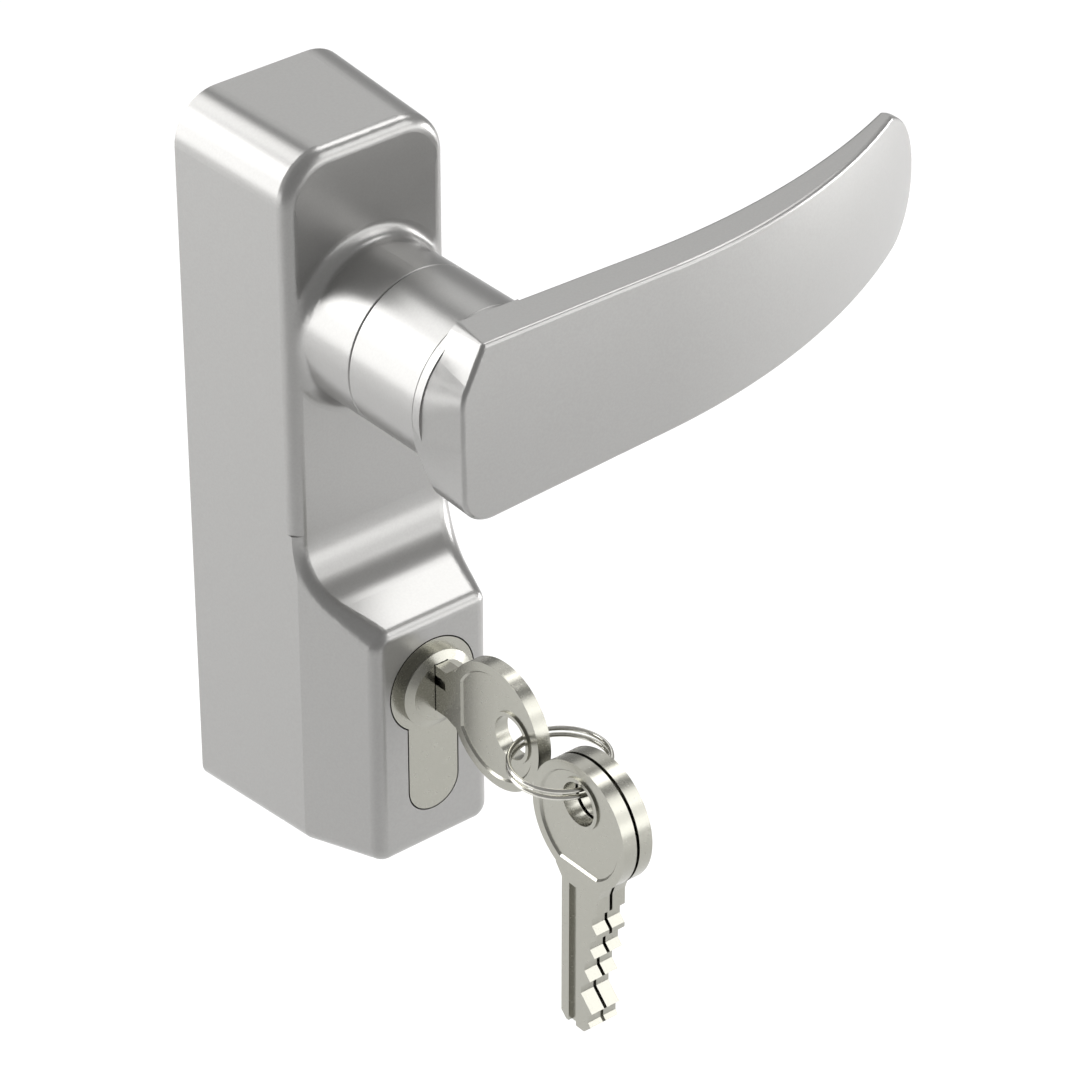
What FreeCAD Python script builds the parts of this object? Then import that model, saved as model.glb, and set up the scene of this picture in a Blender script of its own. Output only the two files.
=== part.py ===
import FreeCAD, Part
import math
import os

# Outside lever trim of a panic exit lock, in millimetres.
# The origin is on the lever axis at the door face. +X runs to the lever's tip, -Y points out of the
# door towards the user and +Z is up.

V = FreeCAD.Vector
X_AXIS = V(1, 0, 0)
Y_AXIS = V(0, 1, 0)
Z_AXIS = V(0, 0, 1)

# Housing
HOUSING_WIDTH = 34.3
HOUSING_FRONT_WIDTH = 31.4
HOUSING_DEPTH = 26.75
AXIS_TO_TOP = 33.1
AXIS_TO_BOTTOM = 96.3
TOP_DRAFT = 1.05
BOTTOM_DRAFT = 0.9
TOP_CORNER_R = 8.2
BOTTOM_CORNER_R = 3.0
EDGE_R = 2.4
RAMP_EDGE_R = 3.8
STRIP_EASE = 0.045
NOSE_EDGE_R = 2.5
NOSE_OVERLAP = 6.0
CREASE_TOP = -35.5
WALL = 2.4
FRONT_WALL = 2.6

# Nose that holds the cylinder
NOSE_DEPTH = 41.4
NOSE_FRONT_WIDTH = 22.7
NOSE_BOTTOM_RISE = 2.2
NOSE_TOP = -49.5
RAMP_ANGLE = 21.5
RAMP_HOLLOW_R = 11.0
NOSE_WALL = 3.0
NOSE_FRONT_WALL = 6.0

# Boss, neck and lever
BOSS_R = 13.95
BOSS_FRONT = 39.3
BOSS_FLARE_R = 2.6
NECK_GAP = 0.15
NECK_FRONT = 55.2
SEAM_CHAMFER = 0.15
LEVER_FACE = 63.7
LEVER_FACE_SLOPE = 0.016
LEVER_FACE_BEND_X = 30.2
LEVER_FACE_BEND_R = 121.7
LEVER_BACK = 55.92
LEVER_BACK_SLOPE = 0.04
LEVER_BACK_BEND_X = 30.0
LEVER_THINNING = 23.3
LEVER_BACK_BEND_R = LEVER_FACE_BEND_R + LEVER_THINNING
LEVER_SWEEP = 48
LEVER_CROWN = 0.8
LEVER_BOTTOM = 17.25
LEVER_BOTTOM_SLOPE = 0.06
LEVER_REACH = 100.3
LEVER_TIP_X = 90.13
LEVER_TIP_Z = -1.9
LEVER_TIP_R = 9.5
LEVER_JOIN_X = 6.0
LEVER_HEEL_TOP_X = 6.7
LEVER_HEEL_TOP_R = 0.8
LEVER_HEEL_X = 11.6
LEVER_HEEL_Z = 6.2
LEVER_HEEL_R = 7.0
LEVER_TOE_X = 10.8
LEVER_TOE_R = 6.0
LEVER_TOE_BACK_X = 8.9
LEVER_TOE_BACK_R = 6.5
LEVER_FRONT_EDGE_R = 0.7
LEVER_BACK_EDGE_R = 0.6
SPIGOT_R = 9.0
SPIGOT_DEPTH = 2.9
NECK_WEB = 2.2

# Drive hub and its bearings
BUSH_R = 11.0
BUSH_FLANGE_R = 12.4
BUSH_FLANGE = 1.2
SHAFT_R = 9.0
RUNNING_CLEARANCE = 0.05
HUB_SQUARE = 12.0
SQUARE_CLEARANCE = 0.1
SQUARE_LENGTH = 7.2
HUB_FLANGE_R = 12.0
HUB_FLANGE = 4.0
AXIAL_PLAY = 0.1
LUG_R = 17.0
LOCK_LUG_R = 16.2
LUG_HALF = 2.5
LUG_REST_ANGLE = -15.0
LEVER_TRAVEL = 45.0
STOP_CLEARANCE = 0.3
REAR_JOURNAL_R = 9.5
SPINDLE_SQUARE = 8.0
SPINDLE_CLEARANCE = 0.1
SPINDLE_DEPTH = 20.0
THRUST_WASHER = 1.0
THRUST_WASHER_R = 12.2
THRUST_PLAY = 0.05
THRUST_RECESS = THRUST_WASHER + THRUST_PLAY - NECK_GAP
NECK_SCREW_LENGTH = 9.0
SPRING_R = 12.0
SPRING_WIRE_R = 0.75
SPRING_TURNS = 3
SPRING_PITCH = 3.0
SPRING_BEND_R = 2.5
SPRING_LEG_END = 17.0
TAB_ANGLE = 20.0

# Back plate and fixings
PLATE = 2.0
PLATE_CLEARANCE = 0.15
PILLAR_R = 4.5
PILLAR_TOP_Z = 24.3
PILLAR_LOW_Z = -36.0
PILLAR_THREAD_R = 2.5
PILLAR_THREAD_DEPTH = 16.0
PILLAR_SEAT = 1.0
PLATE_SCREW_R = 1.5
PLATE_SCREW_HEAD_R = 2.8
PLATE_SCREW_LENGTH = 9.0
PLATE_SCREW_X = 10.6
PLATE_SCREW_TOP_Z = 24.0
PLATE_SCREW_LOW_Z = -90.0
SCREW_BOSS_R = 3.3

# Profile half cylinder
CYL_Z = -62.35
CYL_R = 8.5
LEG_WIDTH = 10.0
CYL_HEIGHT = 33.0
CYL_BACK_GAP = 1.4
CYL_LENGTH = NOSE_DEPTH - CYL_BACK_GAP
CYL_GAP = 0.25
CAM_FROM_BACK = 10.0
CAM_SPACE = 10.0
CAM_WIDTH = 9.2
CAM_R = 13.2
CAM_HALF = 4.0
CAM_RING_R = 7.6
CAM_BRIDGE = 13.6
PLUG_R = 6.5
PLUG_HEAD_R = 7.0
PLUG_HEAD = 1.6
PLUG_HEAD_CHAMFER = 1.5
PLUG_HEAD_RISE = 0.8
TAIL_R = 5.0
TAIL_FLAT = 4.0
PIN_R = 1.4
PIN_CLEARANCE = 0.1
PIN_FIRST = 4.7
PIN_LAST = 4.8
PIN_CUTS = (1.6, 3.0, 3.8, 2.0)
OUTER_CUT = 1.2
DRIVER_LENGTH = 5.5
SHEAR_GAP = 0.1
CHAMBER_PLUG = 1.5
SCREW_M5_R = 2.5
SCREW_HEAD_R = 4.2
SCREW_HEAD_LENGTH = 4.0
CLIP_R = 6.6
CLIP_THICK = 0.8
CLIP_OPENING = 4.4
CLIP_POCKET = 1.9

# Lock slide
SLIDE_THICK = 2.4
SLIDE_TRAVEL = 9.0
SLIDE_LEFT = -12.4
SLIDE_RIGHT = 9.0
TONGUE_INNER = -3.1
TONGUE_OUTER = -6.8
TONGUE_ENGAGED_Z = -12.7
ARM_WIDTH = 3.0
ARM_AHEAD = 3.6
ARM_BEHIND = 3.4
ARM_TOP_Z = -42.0
GUSSET_LOW_Z = -50.0
FOOT_DROP = 4.8
GUIDE_GAP = 0.3

# Keys and ring
KEY_THICK = 2.6
KEY_BOW_OUT = 17.4
KEY_BOW_R = 11.2
KEY_BOW_FLAT = 1.1
KEY_TIP_GAP = 1.8
KEY_BOW_RIM = 1.6
KEY_RECESS = 0.35
KEY_NECK_HALF = 5.75
KEY_NECK = 2.0
KEY_BLADE_HEIGHT = 8.7
KEY_BLADE_LIFT = 1.0
KEY_BOW_LIFT = 0.4
KEY_HOLE_R = 3.8
KEY_HOLE_OFFSET = 4.1
KEY_SHOULDER_OUT = 4.9
KEYWAY_GAP = 0.12
GROOVE_WIDTH = 1.8
GROOVE_DEPTH = 0.7
GROOVE_Z = 1.6
RING_R = 8.2
RING_WIRE_R = 0.4
RING_PITCH = 1.25
RING_Z = -60.5
RING_SEAT_GAP = 0.75
RING_START = 50
SPARE_GAP = 0.3
SPARE_HANG = 2.5


def box(x0, x1, y0, y1, z0, z1):
    return Part.makeBox(x1 - x0, y1 - y0, z1 - z0, V(x0, y0, z0))


def rod_y(r, y0, y1, x=0.0, z=0.0):
    return Part.makeCylinder(r, y1 - y0, V(x, y0, z), Y_AXIS)


def rod_x(r, x0, x1, y=0.0, z=0.0):
    return Part.makeCylinder(r, x1 - x0, V(x0, y, z), X_AXIS)


def rod_z(r, z0, z1, x=0.0, y=0.0):
    return Part.makeCylinder(r, z1 - z0, V(x, y, z0), Z_AXIS)


def cone_y(r0, r1, y0, y1, x=0.0, z=0.0):
    return Part.makeCone(r0, r1, y1 - y0, V(x, y0, z), Y_AXIS)


def rounded_wire(corners, place):
    """Closed wire through (u, v, r) corners. r rounds a corner and 0 leaves it sharp."""
    count = len(corners)
    spans = []
    for i in range(count):
        u, v, r = corners[i]
        before = corners[i - 1]
        after = corners[(i + 1) % count]
        at = V(u, v, 0)
        back = (V(before[0], before[1], 0) - at).normalize()
        ahead = (V(after[0], after[1], 0) - at).normalize()
        if r <= 0:
            spans.append((at, None, at))
            continue
        half = back.getAngle(ahead) / 2
        reach = r / math.tan(half)
        inward = (back + ahead).normalize()
        middle = at + inward * (r / math.sin(half) - r)
        spans.append((at + back * reach, middle, at + ahead * reach))
    edges = []
    for i in range(count):
        start, middle, end = (place(p.x, p.y) if p else None for p in spans[i])
        if middle:
            edges.append(Part.Arc(start, middle, end).toShape())
        following = spans[(i + 1) % count][0]
        following = place(following.x, following.y)
        if end.distanceToPoint(following) > 1e-6:
            edges.append(Part.LineSegment(end, following).toShape())
    return Part.Wire(edges)


def plate_y(corners, y0, y1):
    """Flat piece whose outline lies in X and Z, from y0 to y1."""
    wire = rounded_wire(corners, lambda u, v: V(u, y0, v))
    return Part.Face(wire).extrude(V(0, y1 - y0, 0))


def plate_x(corners, x0, x1):
    """Flat piece whose outline lies in Y and Z, from x0 to x1."""
    wire = rounded_wire(corners, lambda u, v: V(x0, u, v))
    return Part.Face(wire).extrude(V(x1 - x0, 0, 0))


def turned(shape, angle, centre=V(0, 0, 0), axis=Y_AXIS):
    copy = shape.copy()
    copy.rotate(centre, axis, angle)
    return copy


def save(name, shape):
    shape.exportStep("parts/" + name + ".step")


def section(y, half, low, high, r_low, r_high):
    """Rounded outline of the housing in the plane y."""
    corners = [(half, low, r_low), (half, high, r_high), (-half, high, r_high), (-half, low, r_low)]
    return rounded_wire(corners, lambda u, v: V(u, y, v))


def housing_body(inset):
    """Drafted body behind the nose; inset moves every wall inwards for the hollow."""
    back = section(
        0, HOUSING_WIDTH / 2 - inset, -AXIS_TO_BOTTOM + inset, AXIS_TO_TOP - inset,
        max(BOTTOM_CORNER_R - inset, 0.5), TOP_CORNER_R - inset)
    front = section(
        -HOUSING_DEPTH, HOUSING_FRONT_WIDTH / 2 - inset, -AXIS_TO_BOTTOM + BOTTOM_DRAFT + inset,
        AXIS_TO_TOP - TOP_DRAFT - inset, max(BOTTOM_CORNER_R - inset, 0.5), TOP_CORNER_R - inset)
    return Part.makeLoft([back, front], True, True)


def ramp_z(y_out):
    """Height of the ramp's plane at a distance out from the door."""
    return NOSE_TOP + (NOSE_DEPTH - y_out) * math.tan(math.radians(RAMP_ANGLE))


def housing_nose(inset):
    """Tapered nose with its ramp and hollow blend, from the body's front plane outwards."""
    low = -AXIS_TO_BOTTOM + inset
    back = section(
        -HOUSING_DEPTH, HOUSING_FRONT_WIDTH / 2 - inset, low + BOTTOM_DRAFT, ramp_z(0),
        max(BOTTOM_CORNER_R - inset, 0.5), 1.0)
    front = section(
        -NOSE_DEPTH, NOSE_FRONT_WIDTH / 2 - inset, low + NOSE_BOTTOM_RISE, ramp_z(0),
        max(BOTTOM_CORNER_R - inset, 0.5), 1.0)
    taper = Part.makeLoft([back, front], True, True)
    drop = inset / math.cos(math.radians(RAMP_ANGLE))
    depth = NOSE_DEPTH + 5
    profile = [
        (-HOUSING_DEPTH, ramp_z(HOUSING_DEPTH) - drop, RAMP_HOLLOW_R + inset),
        (-depth, ramp_z(depth) - drop, 0),
        (-depth, -AXIS_TO_BOTTOM - 5, 0),
        (5, -AXIS_TO_BOTTOM - 5, 0),
        (5, ramp_z(HOUSING_DEPTH) + 20, 0),
        (-HOUSING_DEPTH, ramp_z(HOUSING_DEPTH) + 20, 0)]
    half = HOUSING_WIDTH
    return taper.common(plate_x(profile, -half, half))


def nearest_edges(shape, places):
    """Edges whose centres lie nearest to the places."""
    return [min(shape.Edges, key=lambda edge: (edge.CenterOfMass - place).Length) for place in places]


def both_sides(x, y, z):
    return [V(x, y, z), V(-x, y, z)]


def rounded_body():
    """Body with its front edges rolled over; the nose covers its lower half."""
    body = housing_body(0)
    half = HOUSING_FRONT_WIDTH / 2
    top = AXIS_TO_TOP - TOP_DRAFT
    places = [V(0, -HOUSING_DEPTH, top)]
    places += both_sides(half, -HOUSING_DEPTH, (top - AXIS_TO_BOTTOM) / 2)
    places += both_sides(half - 3.0, -HOUSING_DEPTH, top - 3.0)
    body = body.makeFillet(EDGE_R, nearest_edges(body, places))
    body = body.fuse(rod_y(BOSS_R, -BOSS_FRONT, -HOUSING_DEPTH + 4))
    return body.makeFillet(BOSS_FLARE_R, boss_foot(body))


def boss_foot(body):
    """Edges where the round boss stands on the body."""
    foot = []
    for edge in body.Edges:
        sides = []
        for face in body.ancestorsOfType(edge, Part.Face):
            round_side = isinstance(face.Surface, Part.Cylinder)
            sides.append(round_side and abs(face.Surface.Radius - BOSS_R) < 0.001)
        if edge.CenterOfMass.y > -BOSS_FRONT + 1 and True in sides and False in sides:
            foot.append(edge)
    return foot


def varied_fillet(shape, rolls):
    """Rolls edges over. Each roll is a place near the edge, its radius at the top and at the bottom."""
    holder = FreeCAD.newDocument("rolls")
    base = holder.addObject("Part::Feature", "base")
    base.Shape = shape
    fillet = holder.addObject("Part::Fillet", "fillet")
    fillet.Base = base
    choices = []
    for place, high_r, low_r in rolls:
        spans = [(edge.CenterOfMass - place).Length for edge in shape.Edges]
        index = spans.index(min(spans))
        edge = shape.Edges[index]
        rises = edge.valueAt(edge.LastParameter).z > edge.valueAt(edge.FirstParameter).z
        first_r, last_r = (low_r, high_r) if rises else (high_r, low_r)
        choices.append((index + 1, first_r, last_r))
    fillet.Edges = choices
    holder.recompute()
    rounded = fillet.Shape.copy()
    FreeCAD.closeDocument(holder.Name)
    return rounded


def strip_edge_r():
    """Radius of the nose's strip that starts a hair beside the line where the body's edge starts."""
    draft = math.atan((HOUSING_WIDTH - HOUSING_FRONT_WIDTH) / 2 / HOUSING_DEPTH)
    taper = math.atan((HOUSING_FRONT_WIDTH - NOSE_FRONT_WIDTH) / 2 / (NOSE_DEPTH - HOUSING_DEPTH))
    return EDGE_R * math.tan(math.pi / 4 - draft / 2) / math.tan(math.pi / 4 - taper / 2) - STRIP_EASE


def rounded_nose():
    """Nose with a strip of the front face above it, rolled along its ramp and its front."""
    back_y = -HOUSING_DEPTH + NOSE_OVERLAP
    spread = NOSE_OVERLAP / (NOSE_DEPTH - HOUSING_DEPTH)
    half_back = HOUSING_FRONT_WIDTH / 2 + spread * (HOUSING_FRONT_WIDTH - NOSE_FRONT_WIDTH) / 2
    low_front = -AXIS_TO_BOTTOM + NOSE_BOTTOM_RISE
    low_back = -AXIS_TO_BOTTOM + BOTTOM_DRAFT - spread * (NOSE_BOTTOM_RISE - BOTTOM_DRAFT)
    strip_top = CREASE_TOP + 8
    back = section(back_y, half_back, low_back, strip_top, BOTTOM_CORNER_R, 0)
    front = section(-NOSE_DEPTH, NOSE_FRONT_WIDTH / 2, low_front, strip_top, BOTTOM_CORNER_R, 0)
    taper = Part.makeLoft([back, front], True, True)
    depth = NOSE_DEPTH + 5
    profile = [
        (-HOUSING_DEPTH, ramp_z(HOUSING_DEPTH), RAMP_HOLLOW_R),
        (-depth, ramp_z(depth), 0),
        (-depth, -AXIS_TO_BOTTOM - 5, 0),
        (5, -AXIS_TO_BOTTOM - 5, 0),
        (5, strip_top + 5, 0),
        (-HOUSING_DEPTH, strip_top + 5, 0)]
    nose = taper.common(plate_x(profile, -HOUSING_WIDTH, HOUSING_WIDTH))
    edge = NOSE_FRONT_WIDTH / 2
    strip = strip_edge_r()
    front_r = NOSE_EDGE_R
    rolls = []
    body_edge = HOUSING_FRONT_WIDTH / 2
    for side in (1, -1):
        rolls.append((V(side * body_edge, -HOUSING_DEPTH, (strip_top - 36.2) / 2), strip, strip))
        rolls.append((V(side * 15.0, -29.2, -42.1), strip, RAMP_EDGE_R))
        rolls.append((V(side * 12.5, -37.6, -48.0), RAMP_EDGE_R, front_r))
        rolls.append((V(side * edge, -NOSE_DEPTH, (NOSE_TOP + low_front) / 2), front_r, front_r))
        rolls.append((V(side * (edge - 1.0), -NOSE_DEPTH, low_front + 1.0), front_r, front_r))
    rolls.append((V(0, -NOSE_DEPTH, NOSE_TOP), front_r, front_r))
    rolls.append((V(0, -NOSE_DEPTH, low_front), front_r, front_r))
    return varied_fillet(nose, rolls)


def housing_form():
    """Outside of the housing without its boss."""
    above = box(-60, 60, -60, 10, CREASE_TOP, 60)
    upper = rounded_body().common(above)
    body = housing_body(0)
    beside = box(-60, 60, -HOUSING_DEPTH, 10, -120, 60).cut(body)
    nose = rounded_nose().cut(above).cut(beside)
    lower = body.cut(above).cut(box(-60, 60, -60, -HOUSING_DEPTH + NOSE_OVERLAP - 1, -120, 60))
    return upper.fuse(lower).fuse(nose)


def seam_rim():
    """Ring that takes the sharp corner off the boss at its front."""
    ring = rod_y(BOSS_R + 1, -BOSS_FRONT - 1, -BOSS_FRONT + SEAM_CHAMFER)
    cone = cone_y(BOSS_R - SEAM_CHAMFER - 1, BOSS_R, -BOSS_FRONT - 1, -BOSS_FRONT + SEAM_CHAMFER)
    return ring.cut(cone)


def cylinder_outline(gap, y0, y1):
    """Keyhole-shaped prism of the profile cylinder, grown by a gap."""
    half = LEG_WIDTH / 2 + gap
    low = CYL_R - CYL_HEIGHT - gap
    foot_r = half - 0.05
    leg = plate_y([(half, 0, 0), (-half, 0, 0), (-half, low, foot_r), (half, low, foot_r)], y0, y1)
    prism = rod_y(CYL_R + gap, y0, y1).fuse(leg).removeSplitter()
    prism.translate(V(0, 0, CYL_Z))
    return prism


FRONT_INNER = -(HOUSING_DEPTH - FRONT_WALL)
HUB_FRONT = FRONT_INNER + BUSH_FLANGE + AXIAL_PLAY
HUB_BACK = HUB_FRONT + HUB_FLANGE
CYL_FRONT = -NOSE_DEPTH
CYL_BACK = CYL_FRONT + CYL_LENGTH
CAM_MIDDLE = CYL_BACK - CAM_FROM_BACK
CYL_SCREW_Z = CYL_Z - 19.5
RIB_OUT = 8.7


def housing_hollow():
    """Everything that the casting leaves open at the back."""
    body = housing_body(WALL).common(box(-60, 60, FRONT_INNER, 0, -120, 60))
    nose = housing_nose(NOSE_WALL)
    nose = nose.common(box(-60, 60, -NOSE_DEPTH + NOSE_FRONT_WALL, 10, -120, 60))
    passage = housing_body(WALL).common(
        box(-60, 60, -HOUSING_DEPTH, FRONT_INNER + 1, -120, ramp_z(HOUSING_DEPTH) - NOSE_WALL - 1))
    back = section(
        -1, HOUSING_WIDTH / 2 - WALL, -AXIS_TO_BOTTOM + WALL, AXIS_TO_TOP - WALL,
        max(BOTTOM_CORNER_R - WALL, 0.5), TOP_CORNER_R - WALL)
    mouth = Part.Face(back).extrude(V(0, 2, 0))
    return body.fuse([nose, passage, mouth])


def stop_blocks():
    """Two cast blocks that the hub's upper lug meets at either end of the lever's travel."""
    near = LUG_HALF + STOP_CLEARANCE
    rest = box(-near - 3.0, -near, FRONT_INNER - 0.5, HUB_BACK, 12.8, LUG_R + 1)
    end = box(near, near + 3.0, FRONT_INNER - 0.5, HUB_BACK, 12.8, LUG_R + 1)
    return [turned(rest, LUG_REST_ANGLE), turned(end, LUG_REST_ANGLE + LEVER_TRAVEL)]


def screw_places():
    places = []
    for z in (PLATE_SCREW_TOP_Z, PLATE_SCREW_LOW_Z):
        for x in (-PLATE_SCREW_X, PLATE_SCREW_X):
            places.append((x, z))
    return places


SLIDE_FRONT = HUB_FRONT + 0.8
SLIDE_BACK = SLIDE_FRONT + SLIDE_THICK
SLIDE_MIDDLE = SLIDE_FRONT + SLIDE_THICK / 2
SLIDE_LOW_Z = PILLAR_LOW_Z - PILLAR_R - SLIDE_TRAVEL - 3.5
SLIDE_SHOULDER_Z = -27.2
SLIDE_SPRING_X = 10.6
SLIDE_SPRING_R = 1.6
SLIDE_SPRING_WIRE_R = 0.35
SLIDE_SPRING_LOW = -30.0
SLIDE_SPRING_HIGH = -17.0
SLIDE_EAR = 4.0
LEDGE_RIGHT = 16.0
LEDGE_THICK = 2.0
PAD_LEFT = 9.2
PAD_RIGHT = 5.8
PAD_WIDTH = 2.0
PAD_LOW_Z = -42.0
PAD_HIGH_Z = -33.0
SCREW_BOSS_ROOT = 5.0
GUIDE_POST_R = 2.0
GUIDE_POST_X = 7.0
GUIDE_POST_LOW_Z = -46.5
GUIDE_POST_HIGH_Z = -33.0
LEG_POST_FAR = 2.5
LEG_POST_NEAR = 0.7
LEG_POST_DEPTH = 11.0
LEG_POST_RISE = 1.5
LEG_POST_OVER = 0.5
SLIDE_SPRING_TURNS = 4


def housing_shell():
    shell = housing_form()
    inside = housing_hollow()
    shell = shell.cut(inside)
    fittings = stop_blocks()
    for z in (PILLAR_TOP_Z, PILLAR_LOW_Z):
        ring = rod_y(PILLAR_R + 1.7, FRONT_INNER - 0.5, FRONT_INNER + PILLAR_SEAT, 0, z)
        fittings.append(ring.cut(rod_y(PILLAR_R + 0.02, FRONT_INNER, FRONT_INNER + 5, 0, z)))
    for x, z in screw_places():
        fittings.append(rod_y(SCREW_BOSS_R, FRONT_INNER - SCREW_BOSS_ROOT, -PLATE, x, z))
    pads = SLIDE_FRONT - GUIDE_GAP
    for x in (-PAD_LEFT, PAD_RIGHT):
        fittings.append(box(x, x + PAD_WIDTH, FRONT_INNER - 0.5, pads, PAD_LOW_Z, PAD_HIGH_Z))
    ledge = SLIDE_SPRING_HIGH
    ledge_x = SLIDE_SPRING_X - SLIDE_SPRING_R - 0.8
    ledge_top = ledge + LEDGE_THICK
    fittings.append(box(ledge_x, LEDGE_RIGHT, FRONT_INNER - 0.5, SLIDE_BACK + 1.0, ledge, ledge_top))
    leg = LEG_WIDTH / 2 + 0.2
    for side in (1, -1):
        x0, x1 = sorted((leg * side, RIB_OUT * side))
        rib_low = -AXIS_TO_BOTTOM + 1.5
        rib_high = CYL_Z - CAM_BRIDGE - 1
        fittings.append(box(x0, x1, -NOSE_DEPTH + 3, -PLATE - 0.5, rib_low, rib_high))
        x0, x1 = sorted(((CYL_R + 0.1) * side, 14.5 * side))
        fittings.append(box(x0, x1, -NOSE_DEPTH + 3, CAM_MIDDLE - CAM_SPACE, CYL_Z - 3, CYL_Z - 1))
    envelope = housing_body(0.2).fuse(housing_nose(0.2))
    for piece in fittings:
        shell = shell.fuse(piece.common(envelope))
    cuts = [seam_rim(), rod_y(BUSH_R + 0.02, -BOSS_FRONT - 1, FRONT_INNER + 1)]
    cuts.append(cylinder_outline(CYL_GAP, CYL_FRONT - 1, -0.5))
    for x, z in screw_places():
        cuts.append(rod_y(PLATE_SCREW_R + 0.05, -PLATE_SCREW_LENGTH - 1, 0, x, z))
    cuts.append(rod_x(SCREW_M5_R + 0.15, 0, 12, CAM_MIDDLE, CYL_SCREW_Z))
    cuts.append(rod_x(SCREW_HEAD_R + 0.3, RIB_OUT, 20, CAM_MIDDLE, CYL_SCREW_Z))
    for tool in cuts:
        shell = shell.cut(tool)
    return shell


def boss_bush():
    barrel = rod_y(BUSH_R, -BOSS_FRONT + 0.1, FRONT_INNER)
    flange = rod_y(BUSH_FLANGE_R, FRONT_INNER, FRONT_INNER + BUSH_FLANGE)
    return barrel.fuse(flange).removeSplitter().cut(rod_y(SHAFT_R, -60, 0))


def square_bar(side, y0, y1):
    half = side / 2
    return box(-half, half, y0, y1, -half, half)


def drive_hub():
    recess_floor = -BOSS_FRONT - NECK_GAP - THRUST_RECESS
    shaft = rod_y(SHAFT_R - RUNNING_CLEARANCE, recess_floor, HUB_FRONT)
    square = square_bar(HUB_SQUARE, recess_floor - SQUARE_LENGTH + THRUST_RECESS, recess_floor)
    flange = rod_y(HUB_FLANGE_R, HUB_FRONT, HUB_BACK)
    journal = rod_y(REAR_JOURNAL_R, HUB_BACK, -0.3)
    stop_lug = box(-LUG_HALF, LUG_HALF, HUB_FRONT, HUB_BACK, 8, LUG_R)
    catch = box(-LUG_HALF, LUG_HALF, HUB_BACK, HUB_BACK + 3.0, SPRING_R + SPRING_WIRE_R + 0.45, LUG_R)
    lock_lug = box(-LUG_HALF, LUG_HALF, HUB_FRONT, HUB_BACK, -LOCK_LUG_R, -8)
    upper = [turned(stop_lug, LUG_REST_ANGLE), turned(catch, LUG_REST_ANGLE)]
    hub = shaft.fuse([square, flange, journal] + upper)
    hub = hub.fuse(lock_lug).removeSplitter()
    socket = square_bar(SPINDLE_SQUARE + 2 * SPINDLE_CLEARANCE, -0.3 - SPINDLE_DEPTH, 1)
    return hub.cut(socket)


def thrust_washer():
    front = -BOSS_FRONT - NECK_GAP - THRUST_RECESS
    washer = rod_y(THRUST_WASHER_R, front, front + THRUST_WASHER)
    return washer.cut(rod_y(SHAFT_R + 0.1, front - 1, front + 2))


GRUB_Y = -43.2
NECK_WEB_BACK = -NECK_FRONT + SPIGOT_DEPTH + 0.1 + NECK_WEB


def lever_neck():
    back = -BOSS_FRONT - NECK_GAP
    edge = SEAM_CHAMFER
    neck = rod_y(BOSS_R, -NECK_FRONT + edge, back - edge)
    neck = neck.fuse(cone_y(BOSS_R, BOSS_R - edge, back - edge, back))
    neck = neck.fuse(cone_y(BOSS_R - edge, BOSS_R, -NECK_FRONT, -NECK_FRONT + edge)).removeSplitter()
    web_front = -NECK_FRONT + SPIGOT_DEPTH + 0.1
    web_back = web_front + NECK_WEB
    neck = neck.cut(rod_y(THRUST_WASHER_R + 0.1, back - THRUST_RECESS, back + 1))
    neck = neck.cut(square_bar(HUB_SQUARE + SQUARE_CLEARANCE, web_back, back))
    neck = neck.cut(rod_y(SPIGOT_R + 0.05, -NECK_FRONT - 1, web_front))
    neck = neck.cut(rod_y(SCREW_M5_R + 0.1, web_front - 1, web_back + 1))
    return neck.cut(rod_z(SCREW_M5_R, -BOSS_R - 1, 0, 0, GRUB_Y))


def hex_bar(across, y0, y1, x=0.0, z=0.0):
    radius = across / math.sqrt(3)
    points = []
    for i in range(7):
        turn = math.radians(60 * i)
        points.append(V(x + radius * math.cos(turn), y0, z + radius * math.sin(turn)))
    return Part.Face(Part.makePolygon(points)).extrude(V(0, y1 - y0, 0))


def neck_screw():
    """Cap screw that pulls the lever's spigot into the neck from behind."""
    shank = rod_y(SCREW_M5_R - 0.05, NECK_WEB_BACK - NECK_SCREW_LENGTH, NECK_WEB_BACK)
    head = rod_y(SCREW_HEAD_R, NECK_WEB_BACK, NECK_WEB_BACK + 2.8)
    return shank.fuse(head).cut(hex_bar(3.0, NECK_WEB_BACK + 1.0, NECK_WEB_BACK + 4))


def neck_grub_screw():
    """Set screw from below that locks the neck on the hub's square."""
    low = -BOSS_R + 0.9
    grub = rod_z(SCREW_M5_R - 0.05, low, -HUB_SQUARE / 2, 0, GRUB_Y)
    drive = hex_bar(2.5, 0, 2.5)
    drive.rotate(V(0, 0, 0), X_AXIS, 90)
    drive.translate(V(0, GRUB_Y, low - 0.01))
    return grub.cut(drive)


def swept_bar(section_at, slope, bend_x, bend_r, face_y, turn_angle):
    """Carries a section along the lever's plan: a straight run and then an arc towards the door."""
    unit = V(1, -slope, 0).normalize()
    inward = V(slope, 1, 0).normalize()
    start = V(-20, face_y + slope * 20, 0)
    bend = V(bend_x, face_y - slope * bend_x, 0)
    straight = section_at(start, inward).extrude(bend - start)
    centre = bend + inward * bend_r
    turn = section_at(bend, inward).revolve(centre, Z_AXIS, turn_angle)
    return straight.fuse(turn)


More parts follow.
